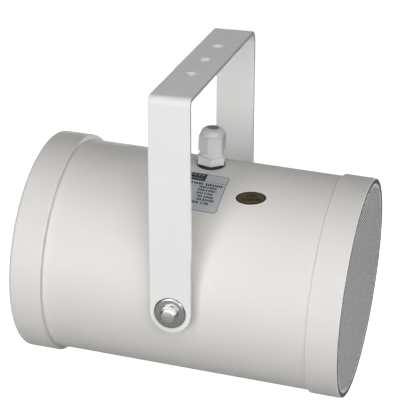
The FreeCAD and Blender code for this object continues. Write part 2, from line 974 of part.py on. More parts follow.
def make_pivot_side(name, side):
    outward = FreeCAD.Vector(side, 0, 0)
    gap = dim("rubbing_gap").value
    bore = dim("washer_bore_radius").value
    leg_outside = half_span.value
    leg_inside = leg_outside - dim("bracket_thickness").value
    flat_seat = leg_outside + gap
    spring_seat = flat_seat + dim("flat_washer_thickness").value
    head_seat = spring_seat + dim("spring_washer_thickness").value

    def at(distance):
        return outward * distance

    def plain_ring(outer, inner, start, length):
        disc = Part.makeCylinder(outer, length, at(start), outward)
        return disc.cut(Part.makeCylinder(inner, length, at(start), outward))

    washer = plain_ring(
        dim("flat_washer_radius").value, bore, flat_seat, spring_seat - flat_seat
    )
    outer_edges = [
        edge
        for edge in washer.Edges
        if isinstance(edge.Curve, Part.Circle)
        and abs(edge.Curve.Radius - dim("flat_washer_radius").value) < NEAR
    ]
    washer = washer.makeFillet(dim("flat_washer_rounding").value, outer_edges)
    shape_part(f"flat_washer_{name}", washer)
    spring = plain_ring(
        dim("spring_washer_radius").value, bore, spring_seat, head_seat - spring_seat
    )
    slit = Part.makeBox(
        head_seat - spring_seat,
        dim("spring_washer_slit").value,
        dim("spring_washer_radius").value,
        FreeCAD.Vector(
            min(side * spring_seat, side * head_seat),
            -dim("spring_washer_slit").value / 2,
            -dim("spring_washer_radius").value,
        ),
    )
    shape_part(f"spring_washer_{name}", spring.cut(slit))
    shape_part(f"pivot_bolt_{name}", hex_bolt(at(head_seat), outward))
    spacer = plain_ring(
        dim("spacer_radius").value, bore, tube_inner.value, leg_inside - gap - tube_inner.value
    )
    spacer = spacer.cut(tube_solid(dim("tube_radius").value))
    shape_part(f"pivot_spacer_{name}", spacer)
    make_stiffener(name, outward, bore)


def tube_solid(radius):
    length = dim("front_reach").value + dim("rear_reach").value
    start = FreeCAD.Vector(0, -dim("front_reach").value, 0)
    return Part.makeCylinder(radius, length, start, FreeCAD.Vector(0, 1, 0))


def make_stiffener(name, outward, bore):
    """A steel plate, curved outside against the tube wall, and the nut on its flat."""
    inner = tube_inner.value
    depth = dim("stiffener_thickness").value
    long = dim("stiffener_length").value
    high = dim("stiffener_height").value
    start = math.sqrt(inner**2 - (high / 2) ** 2) - depth
    block = Part.makeBox(
        inner - start, long, high, FreeCAD.Vector(start, -long / 2, -high / 2)
    )
    if outward.x < 0:
        block = block.mirror(FreeCAD.Vector(0, 0, 0), FreeCAD.Vector(1, 0, 0))
    plate = block.common(tube_solid(inner))
    plate = plate.cut(Part.makeCylinder(bore, inner, FreeCAD.Vector(0, 0, 0), outward))
    shape_part(f"stiffener_{name}", plate)
    nut_face = hexagon(outward * start, dim("nut_flats").value, 0, "YZ")
    nut = nut_face.extrude(outward * -dim("nut_height").value)
    bolt_hole = Part.makeCylinder(
        dim("pivot_bolt_radius").value, inner, FreeCAD.Vector(0, 0, 0), outward
    )
    shape_part(f"pivot_nut_{name}", nut.cut(bolt_hole))


def hex_bolt(seat, outward):
    """A hexagon bolt with a chamfered head, its head on the seat and its shank inwards."""
    flats = dim("bolt_head_flats").value
    tall = dim("bolt_head_height").value
    turn = dim("bolt_head_turn").value
    head = hexagon(seat, flats, turn, "YZ").extrude(outward * tall)
    corner = flats / 2 / math.cos(math.pi / 6)
    straight = tall - dim("bolt_head_chamfer").value
    slope_height = corner * math.tan(math.pi / 6)
    cone = Part.makeCone(corner, 0.0, slope_height, seat + outward * straight, outward)
    barrel = Part.makeCylinder(corner, straight, seat, outward)
    limit = barrel.fuse(cone).common(Part.makeCylinder(corner, tall, seat, outward))
    head = head.common(limit)
    shank = Part.makeCylinder(
        dim("pivot_bolt_radius").value, dim("bolt_length").value, seat, outward * -1
    )
    return head.fuse(shank).removeSplitter()


def gland_point(height):
    return FreeCAD.Vector(0, -dim("gland_ahead").value, height)


def make_gland():
    """Saddle washer, hexagon body, seal, domed nut and the locknut inside the tube."""
    up = FreeCAD.Vector(0, 0, 1)
    top = dim("tube_radius").value
    thread = dim("gland_thread_radius").value
    hex_seat = top + dim("gland_washer_thickness").value
    washer = Part.makeCylinder(
        dim("gland_washer_radius").value,
        hex_seat - tube_inner.value,
        gland_point(tube_inner.value),
        up,
    )
    washer = washer.cut(tube_solid(top))
    washer = washer.cut(
        Part.makeCylinder(
            thread + dim("pivot_clearance").value, hex_seat, gland_point(0), up
        )
    )
    shape_part("gland_washer", washer)
    hex_top = hex_seat + dim("gland_hex_height").value
    turn = dim("gland_hex_turn").value
    base = hexagon(gland_point(hex_seat), dim("gland_flats").value, turn, "XY")
    body = base.extrude(up * dim("gland_hex_height").value)
    body = chamfer_top(body, hex_top, dim("gland_flats").value)
    neck_top = hex_top + dim("gland_neck_height").value
    neck = Part.makeCylinder(
        dim("gland_neck_radius").value, neck_top - hex_top, gland_point(hex_top), up
    )
    collar = Part.makeCylinder(
        dim("gland_collar_radius").value,
        dim("gland_collar_height").value,
        gland_point(hex_top),
        up,
    )
    screw = Part.makeCylinder(
        thread, dim("gland_thread_length").value, gland_point(hex_seat), up * -1
    )
    bore = Part.makeCylinder(
        dim("gland_bore_radius").value, neck_top, gland_point(0), up
    )
    shape_part("gland_body", body.fuse([collar, neck, screw]).cut(bore).removeSplitter())
    nut_base = hex_top + dim("gland_nut_gap").value
    make_gland_nut(nut_base)
    seal_top = (
        nut_base + dim("gland_nut_height").value - dim("gland_seal_drop").value
    )
    make_gland_seal(neck_top, seal_top)
    reach = dim("gland_flats").value / 2
    seat = math.sqrt(tube_inner.value**2 - reach**2)
    face = hexagon(gland_point(seat), dim("gland_flats").value, 90, "XY")
    locknut = face.extrude(up * -dim("locknut_height").value)
    locknut = locknut.cut(Part.makeCylinder(thread, seat, gland_point(0), up))
    shape_part("gland_locknut", locknut)


def chamfer_top(prism, top, flats):
    """Takes the top corners off a hexagon with a shallow cone."""
    corner = flats / 2 / math.cos(math.pi / 6)
    drop = dim("gland_hex_chamfer").value
    cone = Part.makeCone(corner, corner - drop * 2, drop, gland_point(top - drop))
    barrel = Part.makeCylinder(corner, top - drop, gland_point(0))
    return prism.common(cone.fuse(barrel))


def make_gland_nut(base):
    """A hexagon grip that runs up into a dome with a round opening."""
    top = base + dim("gland_nut_height").value
    grip_top = base + dim("gland_nut_grip").value
    half_flats = dim("gland_nut_flats").value / 2
    opening = dim("gland_opening_radius").value
    wall = dim("gland_nut_wall").value
    outer = dim("gland_nut_radius").value
    edge = dim("gland_nut_edge").value
    turn = dim("gland_nut_turn").value
    grip = hexagon(gland_point(base), half_flats * 2, turn, "XY").extrude(
        FreeCAD.Vector(0, 0, grip_top - base)
    )
    limit = revolve_points(
        [
            (0, base),
            (outer - edge, base),
            (outer, base + edge),
            (outer, grip_top - edge),
            (half_flats - edge / 2, grip_top),
            (0, grip_top),
        ]
    )
    grip = grip.common(limit)
    spring = grip_top - edge
    dome = dome_solid(base, spring, top, half_flats, opening + edge / 2)
    hollow = dome_solid(base, spring, top - wall, half_flats - wall, opening)
    nut = grip.fuse(dome).cut(hollow)
    nut = nut.cut(
        Part.makeCylinder(opening, top, gland_point(0), FreeCAD.Vector(0, 0, 1))
    )
    shape_part("gland_nut", nut.removeSplitter())


def revolve_points(points):
    """Turns an outline of (radius, height) points about the gland's axis."""
    spots = [gland_point(height) + FreeCAD.Vector(r, 0, 0) for r, height in points]
    face = Part.Face(Part.makePolygon(spots + spots[:1]))
    return face.revolve(gland_point(0), FreeCAD.Vector(0, 0, 1), 360)


def dome_solid(base, spring, top, radius, flat_radius):
    """A solid dome: straight to the spring line, then a quarter-round to the flat top."""
    side_top = gland_point(spring) + FreeCAD.Vector(radius, 0, 0)
    crown = gland_point(top) + FreeCAD.Vector(flat_radius, 0, 0)
    angle = math.radians(45)
    width, rise = radius - flat_radius, top - spring
    middle = gland_point(spring + rise * math.sin(angle)) + FreeCAD.Vector(
        flat_radius + width * math.cos(angle), 0, 0
    )
    edges = [
        Part.LineSegment(gland_point(base), gland_point(base) + FreeCAD.Vector(radius, 0, 0)).toShape(),
        Part.LineSegment(gland_point(base) + FreeCAD.Vector(radius, 0, 0), side_top).toShape(),
        Part.Arc(side_top, middle, crown).toShape(),
        Part.LineSegment(crown, gland_point(top)).toShape(),
        Part.LineSegment(gland_point(top), gland_point(base)).toShape(),
    ]
    face = Part.Face(Part.Wire(edges))
    return face.revolve(gland_point(0), FreeCAD.Vector(0, 0, 1), 360)


def make_gland_seal(seat, high):
    """A rubber ring that stands on the neck's rim and shows in the nut's opening."""
    radius = dim("gland_seal_radius").value
    bore = dim("gland_seal_bore").value
    throat = dim("gland_opening_radius").value - dim("seat_clearance").value
    seal = revolve_points(
        [
            (bore, seat),
            (radius, seat),
            (radius, seat + dim("gland_seal_collar").value),
            (throat, high - dim("gland_nut_wall").value),
            (throat, high),
            (bore, high),
        ]
    )
    shape_part("gland_seal", seal)


def make_transformer():
    """Laminated core, winding and clamp on two bosses of the rear cap, held by two screws."""
    seat = (cap_inside + dim("boss_height")).value
    wide = dim("core_width").value / 2
    tall = dim("core_height").value
    stack = dim("core_stack").value / 2
    limb = dim("core_limb").value
    skin = dim("foot_thickness").value
    spare = dim("winding_clearance").value
    back = -seat - skin

    def block(x_half, z_half, start, length):
        return Part.makeBox(
            x_half * 2,
            length,
            z_half * 2,
            FreeCAD.Vector(-x_half, back - start - length, -z_half),
        )

    core = block(wide, stack, 0.0, tall)
    inside = block(wide - limb, stack, limb, tall - limb * 2)
    centre_limb = block(limb, stack, limb, tall - limb * 2)
    shape_part("transformer_core", core.cut(inside).fuse(centre_limb).removeSplitter())
    gap = wide - limb * 2
    winding = block(limb + gap - spare, stack + gap, limb + spare, tall - limb * 2 - spare * 2)
    winding = winding.cut(block(limb + spare, stack + spare, 0.0, tall))
    shape_part("transformer_winding", winding)
    strap = dim("clamp_half_width").value
    clamp = block(wide + skin, strap, -skin, tall + skin * 2)
    clamp = clamp.cut(core)
    clamp = clamp.cut(inside)
    foot_reach = wide + dim("foot_length").value
    feet = block(foot_reach, strap, -skin, skin)
    clamp = clamp.fuse(feet)
    for side in (-1, 1):
        centre = FreeCAD.Vector(side * dim("foot_half_pitch").value, back, 0)
        hole = Part.makeCylinder(
            dim("foot_hole_radius").value, skin, centre, FreeCAD.Vector(0, 1, 0)
        )
        clamp = clamp.cut(hole)
    shape_part("transformer_clamp", clamp.removeSplitter())
    screws = []
    for side in (-1, 1):
        head = FreeCAD.Vector(side * dim("foot_half_pitch").value, back, 0)
        screws.append(pan_screw(head, FreeCAD.Vector(0, 1, 0), "small_screw"))
    shape_part("transformer_screws", Part.makeCompound(screws))


def make_terminals():
    """The screw terminal block on the rear cap and the solder tag strip on the driver."""
    seat = (cap_inside + dim("boss_height")).value
    width = dim("terminal_block_width").value
    tall = dim("terminal_block_height").value
    deep = dim("terminal_block_depth").value
    rise = dim("terminal_block_rise").value
    block = Part.makeBox(
        width, deep, tall, FreeCAD.Vector(-width / 2, -seat - deep, rise - tall / 2)
    )
    into = FreeCAD.Vector(0, 1, 0)
    for step in (-1.5, -0.5, 0.5, 1.5):
        mouth = FreeCAD.Vector(
            step * dim("terminal_pitch").value,
            -seat - deep,
            rise + dim("terminal_mouth_rise").value,
        )
        block = block.cut(
            Part.makeCylinder(
                dim("terminal_well_radius").value,
                dim("terminal_mouth_depth").value,
                mouth,
                into,
            )
        )
    head_seat = deep - dim("terminal_seat_depth").value
    face = FreeCAD.Vector(0, -seat - head_seat, rise)
    well = Part.makeCylinder(dim("terminal_head_well").value, deep, face, into * -1)
    hole = Part.makeCylinder(dim("small_screw_radius").value, deep, face, into)
    shape_part("terminal_block", block.cut(well).cut(hole))
    length = head_seat + dim("small_screw_length").value - dim("foot_thickness").value
    shank = Part.makeCylinder(dim("small_screw_radius").value, length, face, into)
    screw = shank.fuse(pan_head(face, into)).removeSplitter()
    shape_part("terminal_block_screw", screw)
    strip_width = dim("tag_strip_width").value
    skin = dim("tag_strip_thickness").value
    low = (flange_inner + dim("frame_wall") + dim("tag_strip_gap")).value
    strip = Part.makeBox(
        strip_width,
        dim("tag_strip_length").value,
        skin,
        FreeCAD.Vector(-strip_width / 2, -flange_back.value, low),
    )
    shape_part("tag_strip", strip)


def lead_path(points):
    """Straight runs joined by tangent arcs, as large as the runs allow."""
    spots = [FreeCAD.Vector(*point) for point in points]
    edges = []
    start = spots[0]
    for before, corner, after in zip(spots, spots[1:], spots[2:]):
        come = (corner - before).normalize()
        leave = (after - corner).normalize()
        turn = come.getAngle(leave)
        short = min((corner - before).Length, (after - corner).Length)
        back_off = 0.45 * short
        radius = back_off / math.tan(turn / 2)
        arc_start = corner - come * back_off
        arc_end = corner + leave * back_off
        inward = (leave - come).normalize()
        sagitta = radius / math.cos(turn / 2) - radius
        edges.append(Part.LineSegment(start, arc_start).toShape())
        edges.append(Part.Arc(arc_start, corner + inward * sagitta, arc_end).toShape())
        start = arc_end
    edges.append(Part.LineSegment(start, spots[-1]).toShape())
    return Part.Wire(edges)


def make_lead(name, points):
    """An insulated lead inside the housing, along the points."""
    path = lead_path(points)
    first = FreeCAD.Vector(*points[0])
    direction = FreeCAD.Vector(*points[1]) - first
    radius = dim("lead_radius").value
    profile = Part.Wire(Part.makeCircle(radius, first, direction))
    tube = path.makePipeShell([profile], True, True)
    expected = math.pi * radius**2 * path.Length
    if abs(tube.Volume - expected) > 0.02 * expected:
        raise RuntimeError(f"{name} has the wrong volume")
    shape_part(name, tube)


def make_leads():
    """Two leads from the winding to the driver's tags, two from the terminals to the winding."""
    strip_height = (
        flange_inner
        + dim("frame_wall")
        + dim("tag_strip_gap")
        + dim("tag_strip_thickness")
        + dim("lead_radius")
    ).value
    tag_end = dim("tag_setback").value - flange_back.value
    boss_seat = (cap_inside + dim("boss_height")).value
    block_front = -boss_seat - dim("terminal_block_depth").value
    well_floor = block_front + dim("terminal_mouth_depth").value
    rise = (dim("terminal_block_rise") + dim("terminal_mouth_rise")).value
    half_core = (dim("core_stack") + dim("core_width")) / 2
    winding_top = (half_core - dim("core_limb") * 2).value
    winding_middle = -boss_seat - dim("core_height").value / 2
    for name, side in (("speaker_lead_one", -1), ("speaker_lead_two", 1)):
        run = [
            (side * aside, tag_end + back, strip_height - drop)
            for aside, back, drop in SPEAKER_LEAD
        ]
        x = run[0][0]
        run.append((x, winding_middle - 3.0, winding_top + 10.0))
        run.append((x, winding_middle - 3.0, winding_top))
        make_lead(name, run)
    for name, side in (("line_lead_one", -1), ("line_lead_two", 1)):
        x = side * dim("terminal_pitch").value * 1.5
        run = [(x, well_floor, rise)]
        for back, drop in LINE_LEAD:
            run.append((x, block_front - back, rise - drop))
        run.append((x, block_front - LINE_LEAD[-1][0], winding_top))
        make_lead(name, run)


def on_tube_skin(prism, turn, angle, ahead, height):
    """Keeps the part of an upright prism that lies in a thin skin on the tube."""
    skin = tube_solid(dim("tube_radius").value + height).cut(
        tube_solid(dim("tube_radius").value)
    )
    prism.rotate(FreeCAD.Vector(0, 0, 0), FreeCAD.Vector(0, 0, 1), turn)
    prism.rotate(FreeCAD.Vector(0, 0, 0), FreeCAD.Vector(0, 1, 0), angle - 90)
    prism.translate(FreeCAD.Vector(0, -ahead, 0))
    return prism.common(skin)


def make_label():
    """The rating plate's foil, wrapped on the tube on the near side, high up."""
    width = dim("label_width").value
    reach = dim("tube_radius").value * math.sin(
        dim("label_height").value / 2 / dim("tube_radius").value
    )
    radius = dim("tube_radius").value
    block = Part.makeBox(
        reach * 2, width, radius, FreeCAD.Vector(-reach, -width / 2, radius / 3)
    )
    corners = [edge for edge in block.Edges if abs(edge.Length - radius) < NEAR]
    block = block.makeFillet(dim("label_corner").value, corners)
    foil = on_tube_skin(
        block,
        -dim("label_turn").value,
        dim("label_angle").value,
        dim("label_ahead").value,
        dim("label_thickness").value,
    )
    shape_part("rating_label", foil)


def make_sticker():
    """The oval inspection seal ahead of the label."""
    oval = Part.Ellipse(
        FreeCAD.Vector(0, 0, dim("tube_radius").value / 3),
        dim("sticker_length").value / 2,
        dim("sticker_height").value / 2,
    ).toShape()
    oval.rotate(FreeCAD.Vector(0, 0, 0), FreeCAD.Vector(0, 0, 1), 90)
    prism = Part.Face(Part.Wire(oval)).extrude(
        FreeCAD.Vector(0, 0, dim("tube_radius").value)
    )
    seal = on_tube_skin(
        prism,
        dim("sticker_turn").value,
        dim("sticker_angle").value,
        dim("sticker_ahead").value,
        dim("label_thickness").value,
    )
    shape_part("inspection_sticker", seal)


def check_and_write():
    """Stops on any failed object or empty solid, then writes each piece to its own file."""
    doc.recompute()
    for item in doc.Objects:
        for word in ("Invalid", "Error"):
            if word in item.State:
                raise RuntimeError(f"{item.Name} is {item.State}")
    os.makedirs("parts", exist_ok=True)
    for item in parts:
        shape = item.Shape
        if shape.isNull() or not shape.isValid() or not shape.Solids:
            raise RuntimeError(f"{item.Label} has no valid solid")
        print(f"{item.Label:24s} {len(shape.Solids)} solids {shape.Volume:12.1f} mm3")
        shape.exportStep(f"parts/{item.Label}.step")


make_bracket()
make_tube()
make_rear_cap()
make_bezel()
make_grille()
make_front_stack()
make_driver_frame()
make_motor()
make_diaphragm()
make_driver_screws()
make_pivots()
make_gland()
make_transformer()
make_terminals()
make_leads()
make_label()
make_sticker()
check_and_write()
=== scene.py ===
import json
import math
import random

import bmesh
import bpy
from mathutils import Matrix, Vector


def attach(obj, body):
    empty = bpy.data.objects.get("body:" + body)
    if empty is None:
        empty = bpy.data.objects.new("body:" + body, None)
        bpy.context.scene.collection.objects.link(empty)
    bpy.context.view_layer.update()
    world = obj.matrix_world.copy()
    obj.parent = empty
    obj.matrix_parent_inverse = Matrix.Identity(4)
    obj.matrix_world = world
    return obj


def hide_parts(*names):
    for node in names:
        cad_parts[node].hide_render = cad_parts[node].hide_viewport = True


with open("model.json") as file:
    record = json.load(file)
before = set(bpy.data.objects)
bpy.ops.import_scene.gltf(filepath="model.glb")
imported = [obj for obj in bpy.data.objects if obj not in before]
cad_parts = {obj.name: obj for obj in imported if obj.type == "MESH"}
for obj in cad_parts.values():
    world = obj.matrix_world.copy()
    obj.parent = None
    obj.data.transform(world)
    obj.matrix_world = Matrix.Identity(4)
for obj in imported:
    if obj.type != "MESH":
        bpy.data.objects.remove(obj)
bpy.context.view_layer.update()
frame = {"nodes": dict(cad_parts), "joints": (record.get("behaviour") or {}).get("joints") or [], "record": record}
nodes = frame["nodes"]

# The housing hangs in its bracket on two side bolts. It points straight down at the upper end
# of its tilt, and at rest its nose is a little down. Pieces are drawn in millimetres in the
# housing's frame: X along the bolts, -Y to the front, Z up.
MM = 0.001
X, Y, Z = range(3)
tilt = next(joint for joint in frame["joints"] if joint["name"] == "tilt")
NOSE_DOWN = math.radians(90 - tilt["range_deg"][1])
HOUSING = Matrix.Translation(tilt["pos_m"]) @ Matrix.Rotation(NOSE_DOWN, 4, "X")


def span(node, axis):
    """Where a solid starts and ends along an axis of the housing, to 0.01 mm."""
    inverse = HOUSING.inverted()
    values = [(inverse @ vertex.co)[axis] / MM for vertex in nodes[node].data.vertices]
    return round(min(values), 2), round(max(values), 2)


TUBE_RADIUS = span("body_tube", X)[1]
BEZEL_RADIUS = span("front_bezel", X)[1]
BEZEL_FRONT, BEZEL_REAR = span("front_bezel", Y)
GRILLE_RADIUS = span("grille", X)[1]
GRILLE_FACE = span("grille", Y)[0]


def new_object(mesh, name, material):
    """Puts a bmesh into the scene under a name, with one material."""
    data = bpy.data.meshes.new(name)
    mesh.to_mesh(data)
    mesh.free()
    data.materials.append(material)
    item = bpy.data.objects.new(name, data)
    bpy.context.scene.collection.objects.link(item)
    return item


def show(mesh, name, body, material, smooth=False):
    """Turns a bmesh in housing millimetres into a piece that rides on a body."""
    mesh.transform(HOUSING @ Matrix.Scale(MM, 4))
    bmesh.ops.recalc_face_normals(mesh, faces=mesh.faces)
    piece = new_object(mesh, name, material)
    for polygon in piece.data.polygons:
        polygon.use_smooth = smooth
    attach(piece, body)
    return piece


def circle(radius, y, steps):
    """Points around the housing's axis, at one place along it."""
    angles = [2 * math.pi * k / steps for k in range(steps)]
    return [(radius * math.cos(angle), y, radius * math.sin(angle)) for angle in angles]


def join_rows(mesh, rows):
    """Closed bands of quads between neighbouring rows of vertices."""
    count = len(rows[0])
    for near, far in zip(rows, rows[1:]):
        for k in range(count):
            n = (k + 1) % count
            mesh.faces.new((near[k], near[n], far[n], far[k]))


# Materials


class Finish:
    """A procedural surface. Its textures lie in the object's own coordinates, in metres."""

    def __init__(self, name, colour, roughness, metallic=0.0):
        self.material = bpy.data.materials.new(name)
        self.material.use_nodes = True
        self.tree = self.material.node_tree
        self.shader = self.tree.nodes["Principled BSDF"]
        self.colour = colour
        self.roughness = roughness
        self.tone = None
        self.normal = None
        self.set("Base Color", (*colour, 1.0))
        self.set("Roughness", roughness)
        self.set("Metallic", metallic)
        self.place = self.add("TexCoord").outputs["Object"]

    def set(self, socket, value):
        """Sets one plain value of the shader."""
        self.shader.inputs[socket].default_value = value
        return self

    def add(self, kind, **settings):
        """Adds a node of one kind to the material."""
        node = self.tree.nodes.new("ShaderNode" + kind)
        for key, value in settings.items():
            setattr(node, key, value)
        return node

    def link(self, source, target):
        """Joins an output to an input."""
        self.tree.links.new(source, target)

    def noise(self, scale, detail=3.0, stretch=(1, 1, 1)):
        """Cloudy noise, from 0 to 1."""
        mapping = self.add("Mapping")
        mapping.inputs["Scale"].default_value = stretch
        self.link(self.place, mapping.inputs["Vector"])
        texture = self.add("TexNoise")
        texture.inputs["Scale"].default_value = scale
        texture.inputs["Detail"].default_value = detail
        self.link(mapping.outputs["Vector"], texture.inputs["Vector"])
        return texture.outputs["Fac"]

    def remap(self, value, low, high, source_low=0.3, source_high=0.7):
        """Spreads a value from its own range over another one."""
        ramp = self.add("MapRange")
        ramp.inputs["From Min"].default_value = source_low
        ramp.inputs["From Max"].default_value = source_high
        ramp.inputs["To Min"].default_value = low
        ramp.inputs["To Max"].default_value = high
        self.link(value, ramp.inputs["Value"])
        return ramp.outputs["Result"]

    def waves(self, axis, period):
        """A ridge pattern along one axis, from 0 to 1."""
        split = self.add("SeparateXYZ")
        self.link(self.place, split.inputs["Vector"])
        times = self.add("Math", operation="MULTIPLY")
        times.inputs[1].default_value = 2 * math.pi / period
        self.link(split.outputs[axis], times.inputs[0])
        sine = self.add("Math", operation="SINE")
        self.link(times.outputs[0], sine.inputs[0])
        return self.remap(sine.outputs[0], 0.0, 1.0, source_low=-1.0, source_high=1.0)

    def tint(self, amount, colour):
        """Mixes another colour in where the amount is high."""
        mix = self.add("Mix", data_type="RGBA")
        mix.inputs["A"].default_value = (*self.colour, 1.0)
        mix.inputs["B"].default_value = (*colour, 1.0)
        self.link(amount, mix.inputs["Factor"])
        if self.tone is not None:
            self.link(self.tone, mix.inputs["A"])
        self.tone = mix.outputs["Result"]
        self.link(self.tone, self.shader.inputs["Base Color"])
        return self

    def mottle(self, scale, amount):
        """Darkens the colour in patches, by a share of it."""
        darker = [channel * (1.0 - amount) for channel in self.colour]
        return self.tint(self.remap(self.noise(scale, detail=4.0), 0.0, 1.0), darker)

    def uneven(self, scale, amount):
        """Varies the gloss."""
        low, high = self.roughness - amount, self.roughness + amount
        self.link(self.remap(self.noise(scale), low, high), self.shader.inputs["Roughness"])
        return self

    def bump(self, height, depth, strength=1.0):
        """Adds relief to the relief that is there."""
        node = self.add("Bump")
        node.inputs["Distance"].default_value = depth
        node.inputs["Strength"].default_value = strength
        self.link(height, node.inputs["Height"])
        if self.normal is not None:
            self.link(self.normal, node.inputs["Normal"])
        self.normal = node.outputs["Normal"]
        self.link(self.normal, self.shader.inputs["Normal"])
        return self

    def grain(self, scale, depth, strength=1.0, stretch=(1, 1, 1)):
        """Adds noise as relief."""
        return self.bump(self.noise(scale, detail=2.0, stretch=stretch), depth, strength)


def powder_coat(name, colour):
    """Sprayed powder paint with a faint orange peel."""
    finish = Finish(name, colour, roughness=0.42)
    finish.mottle(scale=30, amount=0.02)
    finish.uneven(scale=120, amount=0.05)
    finish.grain(scale=700, depth=0.00004, strength=0.5)
    finish.grain(scale=60, depth=0.0002, strength=0.15)
    return finish


def moulded(name, colour, roughness=0.5):
    """Moulded plastic with a fine spark texture and faint flow marks."""
    finish = Finish(name, colour, roughness)
    finish.mottle(scale=18, amount=0.025)
    finish.uneven(scale=90, amount=0.06)
    finish.grain(scale=1400, depth=0.00003, strength=0.5)
    finish.grain(scale=40, depth=0.0003, strength=0.12)
    return finish


def metal(name, colour, roughness, stretch=(1, 1, 1)):
    """Bare metal. Brushed metal has its grain stretched along one axis."""
    finish = Finish(name, colour, roughness, metallic=1.0)
    finish.mottle(scale=150, amount=0.05)
    finish.uneven(scale=120, amount=roughness * 0.15)
    finish.grain(scale=900, depth=0.00001, strength=0.15, stretch=stretch)
    return finish


def rubber(name, colour):
    """Dull rubber with an uneven bloom."""
    finish = Finish(name, colour, roughness=0.6)
    finish.mottle(scale=80, amount=0.25)
    finish.uneven(scale=150, amount=0.1)
    finish.grain(scale=1200, depth=0.00004, strength=0.5)
    return finish


def woven(name, colour, period, depth):
    """Cloth with two crossing sets of threads."""
    finish = Finish(name, colour, roughness=0.85)
    lighter = [min(1.0, channel * 1.8 + 0.01) for channel in colour]
    over = finish.waves("X", period)
    across = finish.waves("Z", period)
    finish.tint(over, lighter)
    finish.mottle(scale=40, amount=0.2)
    finish.bump(over, depth)
    finish.bump(across, depth)
    finish.set("Sheen Weight", 0.3)
    return finish


def paper(name, colour):
    """Pressed fibre with a rough face."""
    finish = Finish(name, colour, roughness=0.8)
    finish.mottle(scale=120, amount=0.3)
    finish.grain(scale=500, depth=0.0002, strength=0.6)
    finish.grain(scale=2500, depth=0.00005, strength=0.5)
    return finish


WHITE_PAINT = (0.87, 0.87, 0.865)
WHITE_SHEET = (0.84, 0.85, 0.86)
SHELL = (0.82, 0.80, 0.77)
finishes = {
    "bracket_paint": powder_coat("bracket_paint", WHITE_PAINT),
    "housing_plastic": moulded("housing_plastic", SHELL),
    "grille_paint": powder_coat("grille_paint", WHITE_SHEET),
    "grille_cloth": woven("grille_cloth", (0.02, 0.02, 0.02), period=0.0006, depth=0.0001),
    "baffle_board": paper("baffle_board", (0.36, 0.24, 0.13)),
    "black_rubber": rubber("black_rubber", (0.02, 0.02, 0.02)),
    "grey_rubber": rubber("grey_rubber", (0.3, 0.3, 0.3)),
    "frame_paint": powder_coat("frame_paint", (0.03, 0.03, 0.03)),
    "zinc_plate": metal("zinc_plate", (0.55, 0.55, 0.57), 0.32, stretch=(1, 8, 1)),
    "ferrite": paper("ferrite", (0.05, 0.05, 0.055)),
    "coil_copper": metal("coil_copper", (0.72, 0.34, 0.16), 0.3),
    "cone_paper": paper("cone_paper", (0.04, 0.04, 0.042)),
    "cap_paper": paper("cap_paper", (0.02, 0.02, 0.02)),
    "spider_cloth": woven("spider_cloth", (0.45, 0.3, 0.12), period=0.001, depth=0.0001),
    "stainless": metal("stainless", (0.58, 0.57, 0.56), 0.2),
    "bolt_steel": metal("bolt_steel", (0.76, 0.75, 0.73), 0.27),
    "gland_plastic": moulded("gland_plastic", (0.73, 0.735, 0.735), 0.15),
    "laminations": metal("laminations", (0.2, 0.2, 0.21), 0.45),
    "winding_tape": moulded("winding_tape", (0.62, 0.42, 0.06), 0.35),
    "terminal_plastic": moulded("terminal_plastic", (0.7, 0.7, 0.66), 0.4),
    "tag_board": paper("tag_board", (0.22, 0.1, 0.04)),
    "red_lead": moulded("red_lead", (0.45, 0.015, 0.01), 0.3),
    "black_lead": moulded("black_lead", (0.015, 0.015, 0.015), 0.3),
    "label_foil": metal("label_foil", (0.62, 0.655, 0.69), 0.4, stretch=(6, 1, 1)),
    "seal_foil": moulded("seal_foil", (0.105, 0.085, 0.048), 0.35),
}

SHEET_THICKNESS = 0.0005
TAPE_WIDTH = 0.003
core = finishes["laminations"]
core.bump(core.waves("Z", SHEET_THICKNESS), depth=0.0001)
tape = finishes["winding_tape"]
tape.bump(tape.waves("Y", TAPE_WIDTH), depth=0.00015)
finishes["grille_cloth"].set("Sheen Weight", 0.0)
finishes["grille_cloth"].set("Specular IOR Level", 0.05)
finishes["label_foil"].set("Metallic", 0.1)
finishes["seal_foil"].set("Metallic", 0.15)

for entry in frame["record"]["subparts"]:
    finish = finishes[entry["material_slot"]]
    for holder in nodes[entry["node"]].material_slots:
        holder.material = finish.material
